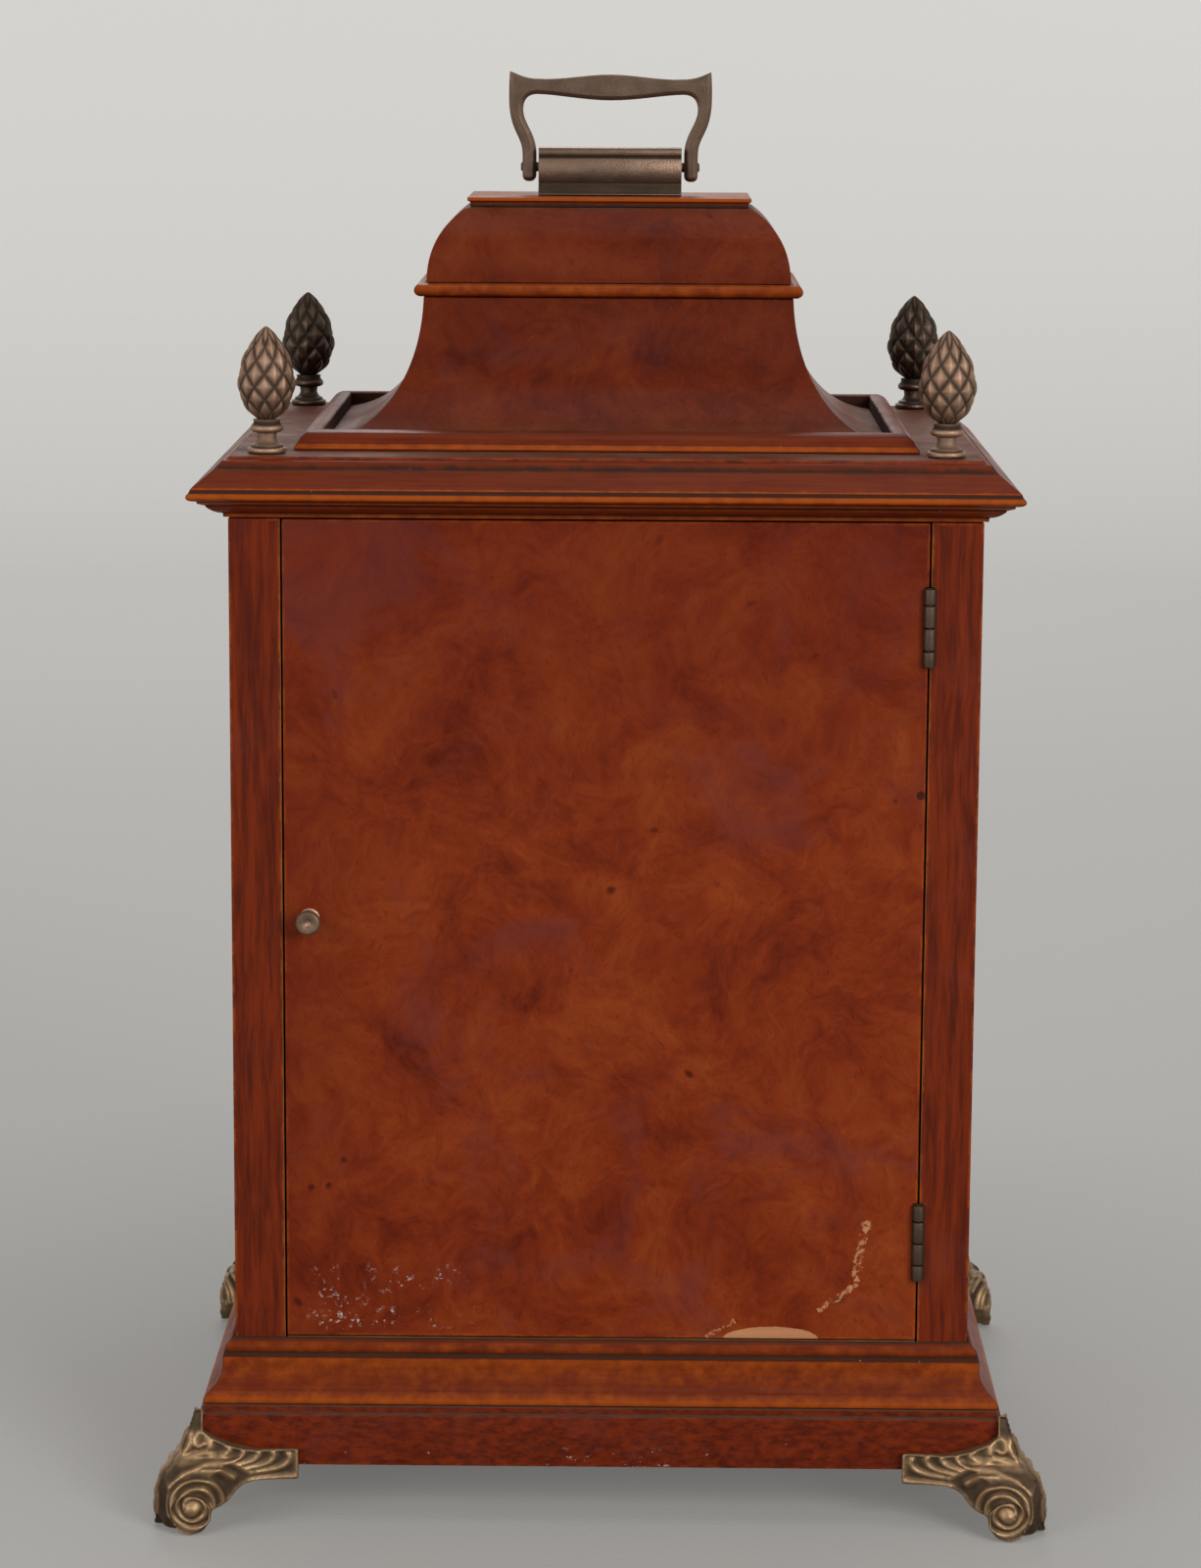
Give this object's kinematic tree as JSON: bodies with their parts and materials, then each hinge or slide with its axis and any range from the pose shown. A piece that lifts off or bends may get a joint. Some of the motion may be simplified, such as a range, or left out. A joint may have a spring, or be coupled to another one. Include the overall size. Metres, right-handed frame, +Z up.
{
  "type": "bracket clock",
  "caption": "Veneered bracket clock with caddy top, folding carrying handle, pine-cone finials, scroll feet, opening front and back doors and a spring-driven pendulum movement.",
  "frame": {"origin": "on the surface the clock stands on, under the middle of the case", "axes": "+Z up, -Y out of the dial and front door, +Y out of the back door that the picture shows, +X to the right of someone facing the dial"},
  "size_m": [0.2946, 0.2526, 0.4728],
  "materials": {
    "burl_veneer": "french-polished red-brown burl veneer",
    "crossbanding": "dark polished crossbanded veneer",
    "polished_moulding": "polished mouldings with orange highlights and dark grime in the quirks",
    "carcass_wood": "plain unpolished carcass timber",
    "aged_bronze": "aged cast brass with brown patina",
    "dark_bronze": "dark brown patinated cast brass",
    "brass": "satin brass",
    "steel": "polished steel",
    "blued_steel": "blued steel",
    "silvered_brass": "matt silvered brass",
    "clear_glass": "clear thin sheet glass"
  },
  "bodies": {
    "case": {"case_side_left": "burl_veneer", "case_side_right": "burl_veneer", "caddy_skirt": "burl_veneer", "caddy_dome": "burl_veneer", "plinth": "crossbanding", "case_top": "crossbanding", "base_moulding": "polished_moulding", "cornice": "polished_moulding", "caddy_frame": "polished_moulding", "caddy_bead": "polished_moulding", "caddy_cap": "polished_moulding", "case_floor": "carcass_wood", "seat_board": "carcass_wood", "handle_saddle": "aged_bronze", "finial_back_left": "aged_bronze", "finial_back_right": "aged_bronze", "foot_back_left": "aged_bronze", "foot_back_right": "aged_bronze", "foot_front_left": "aged_bronze", "foot_front_right": "aged_bronze", "back_hinge_upper_case_leaf": "aged_bronze", "back_hinge_lower_case_leaf": "aged_bronze", "front_hinge_upper_case_leaf": "aged_bronze", "front_hinge_lower_case_leaf": "aged_bronze", "finial_front_left": "dark_bronze", "finial_front_right": "dark_bronze", "dial_plate": "brass", "front_plate": "brass", "back_plate": "brass", "back_cock": "brass", "chapter_ring": "silvered_brass", "arch_boss": "silvered_brass"},
    "handle": {"handle": "aged_bronze", "handle_pivot_rod": "aged_bronze"},
    "back_door": {"back_door_panel": "burl_veneer", "back_door_knob": "aged_bronze", "back_hinge_upper_door_leaf": "aged_bronze", "back_hinge_lower_door_leaf": "aged_bronze"},
    "front_door": {"front_door_frame": "burl_veneer", "front_door_glass": "clear_glass", "front_door_knob": "aged_bronze", "front_hinge_upper_door_leaf": "aged_bronze", "front_hinge_lower_door_leaf": "aged_bronze"},
    "minute_hand": {"minute_hand": "blued_steel", "cannon_pinion": "steel", "hand_collet": "brass"},
    "minute_wheel": {"minute_wheel": "brass"},
    "hour_hand": {"hour_hand": "blued_steel", "hour_wheel": "brass"},
    "third_wheel": {"third_wheel": "brass"},
    "centre_wheel": {"centre_wheel": "brass"},
    "going_barrel": {"going_barrel": "brass"},
    "escape_wheel": {"escape_wheel": "brass"},
    "winding_arbor": {"winding_arbor": "steel"},
    "pendulum": {"pallet_anchor": "steel", "pendulum_rod": "steel", "pendulum_bob": "brass"}
  },
  "joints": [
    {"name": "handle_fold", "type": "hinge", "parent": "case", "child": "handle", "pos_m": [0, 0, 0.4409], "axis": [1, 0, 0], "range_deg": [-90, 90]},
    {"name": "back_door_swing", "type": "hinge", "parent": "case", "child": "back_door", "pos_m": [-0.10415, 0.101, 0.19635], "axis": [0, 0, 1], "range_deg": [0, 110]},
    {"name": "front_door_swing", "type": "hinge", "parent": "case", "child": "front_door", "pos_m": [0.10415, -0.101, 0.19635], "axis": [0, 0, 1], "range_deg": [0, 110]},
    {"name": "minute_hand_turn", "type": "hinge", "parent": "case", "child": "minute_hand", "pos_m": [0, -0.07, 0.1669], "axis": [0, 1, 0], "continuous": true},
    {"name": "minute_wheel_turn", "type": "hinge", "parent": "case", "child": "minute_wheel", "pos_m": [0, -0.063, 0.1909], "axis": [0, 1, 0], "continuous": true},
    {"name": "hour_hand_turn", "type": "hinge", "parent": "case", "child": "hour_hand", "pos_m": [0, -0.07, 0.1669], "axis": [0, 1, 0], "continuous": true},
    {"name": "third_wheel_turn", "type": "hinge", "parent": "case", "child": "third_wheel", "pos_m": [0.006, -0.0375, 0.19261], "axis": [0, 1, 0], "continuous": true},
    {"name": "centre_wheel_turn", "type": "hinge", "parent": "case", "child": "centre_wheel", "pos_m": [0, -0.0375, 0.1669], "axis": [0, 1, 0], "continuous": true},
    {"name": "going_barrel_turn", "type": "hinge", "parent": "case", "child": "going_barrel", "pos_m": [-0.0225, -0.0375, 0.14892], "axis": [0, 1, 0], "continuous": true},
    {"name": "escape_wheel_turn", "type": "hinge", "parent": "case", "child": "escape_wheel", "pos_m": [0, -0.0375, 0.21764], "axis": [0, 1, 0], "continuous": true},
    {"name": "winding_arbor_turn", "type": "hinge", "parent": "case", "child": "winding_arbor", "pos_m": [-0.0225, -0.0375, 0.14892], "axis": [0, 1, 0], "range_deg": [0, 1800]},
    {"name": "pendulum_swing", "type": "hinge", "parent": "case", "child": "pendulum", "pos_m": [0, 0.002, 0.23414], "axis": [0, 1, 0], "range_deg": [-4, 4]}
  ],
  "couplings": [
    {"joint": "minute_wheel_turn", "follows": "minute_hand_turn", "ratio": -0.33333},
    {"joint": "hour_hand_turn", "follows": "minute_hand_turn", "ratio": 0.083333},
    {"joint": "centre_wheel_turn", "follows": "third_wheel_turn", "ratio": -0.1},
    {"joint": "going_barrel_turn", "follows": "third_wheel_turn", "ratio": 0.025},
    {"joint": "escape_wheel_turn", "follows": "third_wheel_turn", "ratio": -12}
  ]
}
